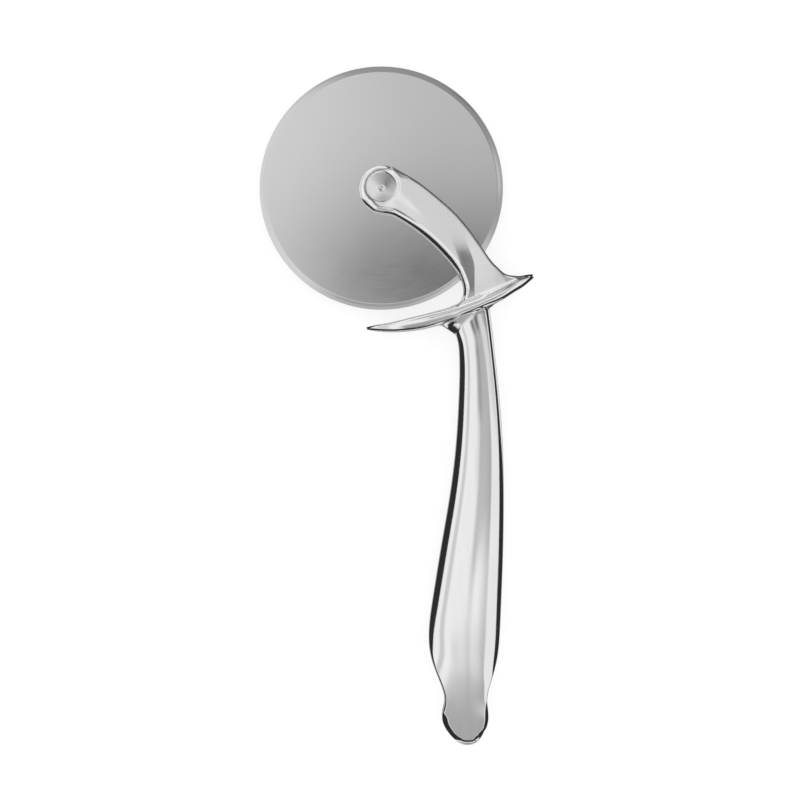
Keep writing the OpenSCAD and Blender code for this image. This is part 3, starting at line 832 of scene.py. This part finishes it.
def build_world():
    world = bpy.data.worlds.new("studio")
    bpy.context.scene.world = world
    world.use_nodes = True
    tree = world.node_tree
    tree.nodes.clear()
    N = Nodes(tree)
    out = N.add("ShaderNodeOutputWorld")
    d = N.add("ShaderNodeTexCoord").outputs["Generated"]
    sep = N.add("ShaderNodeSeparateXYZ")
    N.link(d, sep.inputs[0])
    dx, dy, dz = sep.outputs
    up = N.math("MAXIMUM", dz, 0.001)
    deg = 180 / math.pi
    al = N.math("MULTIPLY", N.math("ARCTAN2", dx, up), deg)
    be = N.math("MULTIPLY", N.math("ARCTAN2", dy, up), deg)
    # panel layout: left wall, gray flag overhead, right strip
    low = N.mix(N.ramp(be, -4.2, -8), 0.56, 0.76)
    over_handle = N.mix(N.ramp(al, 1.2, 3.4), 0.93, low)
    over_wheel = N.math("MULTIPLY", N.ramp(al, -4.5, 1.5, 0.93, 0.72), N.ramp(al, 3, 12, 1.0, 0.80))
    shade = N.mix(N.ramp(be, 2.0, 4.0), over_handle, over_wheel)
    window = N.math("MULTIPLY", N.ramp(be, -2.8, -5.6), N.math("MULTIPLY", N.ramp(al, 5, 10), N.ramp(al, 34, 14)))
    shade = N.mix(window, shade, 0.96)
    shade = N.math("SUBTRACT", shade, N.ramp(al, 8, 38, 0.0, 0.12, False))
    high = N.ramp(al, 82, 74)
    right = N.math("MULTIPLY", N.ramp(al, 37.4, 38.6), N.math("SUBTRACT", 1.0, N.math("MULTIPLY", N.ramp(be, 34, 44), high)))
    shade = N.mix(right, shade, 0.89)
    line = N.math("MULTIPLY", N.ramp(al, -54, -48), N.ramp(al, -33, -38))
    shade = N.mix(line, shade, 0.66)
    # top: the flag darkens to the upper right, a bright bank stands behind it
    top = N.math("MULTIPLY", N.ramp(be, 10, 26), N.math("MULTIPLY", N.ramp(al, -28, -8), high))
    shade = N.mix(top, shade, N.ramp(al, -4, 12, 0.42, 0.38))
    rim = N.math("MULTIPLY", N.ramp(be, 38, 48), N.math("MULTIPLY", N.ramp(al, 18, 28), high))
    shade = N.mix(rim, shade, 0.10)
    corner = N.math("MULTIPLY", N.math("MULTIPLY", N.ramp(be, 5.0, 6.8), N.ramp(be, 33, 27)), N.math("MULTIPLY", N.ramp(al, 6, 11), N.ramp(al, 23, 19)))
    shade = N.mix(corner, shade, 0.15)
    side = N.math("MULTIPLY", N.ramp(al, 26, 31), N.math("MULTIPLY", N.ramp(be, 5.5, 8), N.ramp(be, 26, 14)))
    shade = N.mix(side, shade, 0.74)
    crest = N.math("MULTIPLY", N.ramp(be, 48, 56), N.ramp(be, 81, 75))
    shade = N.mix(N.math("MULTIPLY", crest, N.ramp(al, 28, 16)), shade, 0.95)
    # foot: falls off towards the camera's lower side
    foot = N.math("MULTIPLY", N.ramp(be, -9, -29), N.math("MULTIPLY", N.ramp(al, -25, -12), N.ramp(al, 38.4, 37.6)))
    shade = N.mix(foot, shade, N.ramp(be, -27, -60, 0.42, 0.36))
    # soft dark round the lens opening
    ex = N.math("DIVIDE", N.math("SUBTRACT", al, 1.0), N.ramp(al, -1, 3, 4.2, 6.5))
    ey = N.math("DIVIDE", N.math("SUBTRACT", be, 3.6), N.ramp(be, 3.0, 4.2, 1.25, 2.8))
    r2 = N.math("ADD", N.math("MULTIPLY", ex, ex), N.math("MULTIPLY", ey, ey))
    hole = N.math("MULTIPLY", N.math("EXPONENT", N.math("MULTIPLY", r2, -0.9)), 0.97)
    shade = N.math("MULTIPLY", shade, N.math("SUBTRACT", 1.0, hole))
    # black flags stand round the foot of the tent, on a white floor
    left_edge = N.ramp(dy, 0.0, -0.34, -74.0, -87.0, False)
    right_edge = N.ramp(dy, 0.02, 0.16, 86.5, 90.5, False)
    dark = N.math("MAXIMUM",
                  N.ramp(N.math("SUBTRACT", al, left_edge), 0.8, -0.8),
                  N.ramp(N.math("SUBTRACT", al, right_edge), 0, 1))
    dark = N.math("MAXIMUM", dark, N.ramp(be, -76, -82))
    lower_left = N.math("MULTIPLY", N.ramp(dx, -0.25, -0.45), N.math("MULTIPLY", N.ramp(dy, -0.30, -0.48), N.ramp(dz, 0.42, 0.25)))
    dark = N.math("MAXIMUM", dark, lower_left)
    behind = N.math("MULTIPLY", N.ramp(be, 48, 58), N.math("MULTIPLY", N.ramp(al, 60, 40), N.ramp(al, -66, -58)))
    dark = N.math("MULTIPLY", dark, N.math("SUBTRACT", 1.0, behind))
    dark = N.math("MAXIMUM", dark, N.ramp(dz, 0.04, -0.04))
    shade = N.mix(dark, shade, 0.028)
    neck = N.math("MULTIPLY", N.ramp(dx, 0.1, 0.4), N.math("MULTIPLY", N.ramp(dy, -0.06, 0.04), N.ramp(dy, 0.35, 0.25)))
    raised = N.math("MAXIMUM", N.ramp(dy, -0.72, -0.55, 0.0, 0.38), N.ramp(dx, -0.25, -0.42, 0.0, 0.38))
    white = N.math("ADD", dz, N.math("MULTIPLY", raised, N.math("SUBTRACT", 1.0, neck)))
    shade = N.mix(N.ramp(white, -0.44, -0.54), shade, N.ramp(dz, -0.80, -0.92, 0.85, 0.42))
    glossy = N.add("ShaderNodeBackground")
    N.link(N.combine(shade, shade, shade), glossy.inputs[0])
    plain = N.add("ShaderNodeBackground")
    plain.inputs[0].default_value = (0.93, 0.93, 0.93, 1)
    path = N.add("ShaderNodeLightPath")
    seen = N.math("MAXIMUM", path.outputs["Is Camera Ray"], path.outputs["Is Diffuse Ray"])
    mix = N.add("ShaderNodeMixShader")
    N.link(seen, mix.inputs[0])
    N.link(glossy.outputs[0], mix.inputs[1])
    N.link(plain.outputs[0], mix.inputs[2])
    N.link(mix.outputs[0], out.inputs[0])


def build_floor():
    me = bpy.data.meshes.new("floor")
    s = 3.0
    me.from_pydata([(-s, -s, -0.0002), (s, -s, -0.0002), (s, s, -0.0002), (-s, s, -0.0002)], [], [(0, 1, 2, 3)])
    floor = bpy.data.objects.new("floor", me)
    bpy.context.scene.collection.objects.link(floor)
    mat = bpy.data.materials.new("floor_white")
    mat.use_nodes = True
    tree = mat.node_tree
    tree.nodes.clear()
    N = Nodes(tree)
    out = N.add("ShaderNodeOutputMaterial")
    diffuse = N.add("ShaderNodeBsdfDiffuse")
    diffuse.inputs[0].default_value = (0.30, 0.30, 0.30, 1)
    glow = N.add("ShaderNodeEmission")
    glow.inputs[1].default_value = 0.80
    both = N.add("ShaderNodeAddShader")
    N.link(diffuse.outputs[0], both.inputs[0])
    N.link(glow.outputs[0], both.inputs[1])
    clear = N.add("ShaderNodeBsdfTransparent")
    mix = N.add("ShaderNodeMixShader")
    N.link(N.add("ShaderNodeNewGeometry").outputs["Backfacing"], mix.inputs[0])
    N.link(both.outputs[0], mix.inputs[1])
    N.link(clear.outputs[0], mix.inputs[2])
    N.link(mix.outputs[0], out.inputs[0])
    me.materials.append(mat)
    floor.visible_glossy = False


build_world()
build_floor()

cam = bpy.data.cameras.new("camera")
cam.sensor_width = 36.0
cam.lens = 36.0 * 600.0 / 296.0
cam.clip_start, cam.clip_end = 0.01, 20.0
camera = bpy.data.objects.new("camera", cam)
camera.location = (0.0069, -0.0784, 0.6075)
bpy.context.scene.collection.objects.link(camera)
bpy.context.scene.camera = camera
bpy.context.scene.view_settings.view_transform = "Standard"
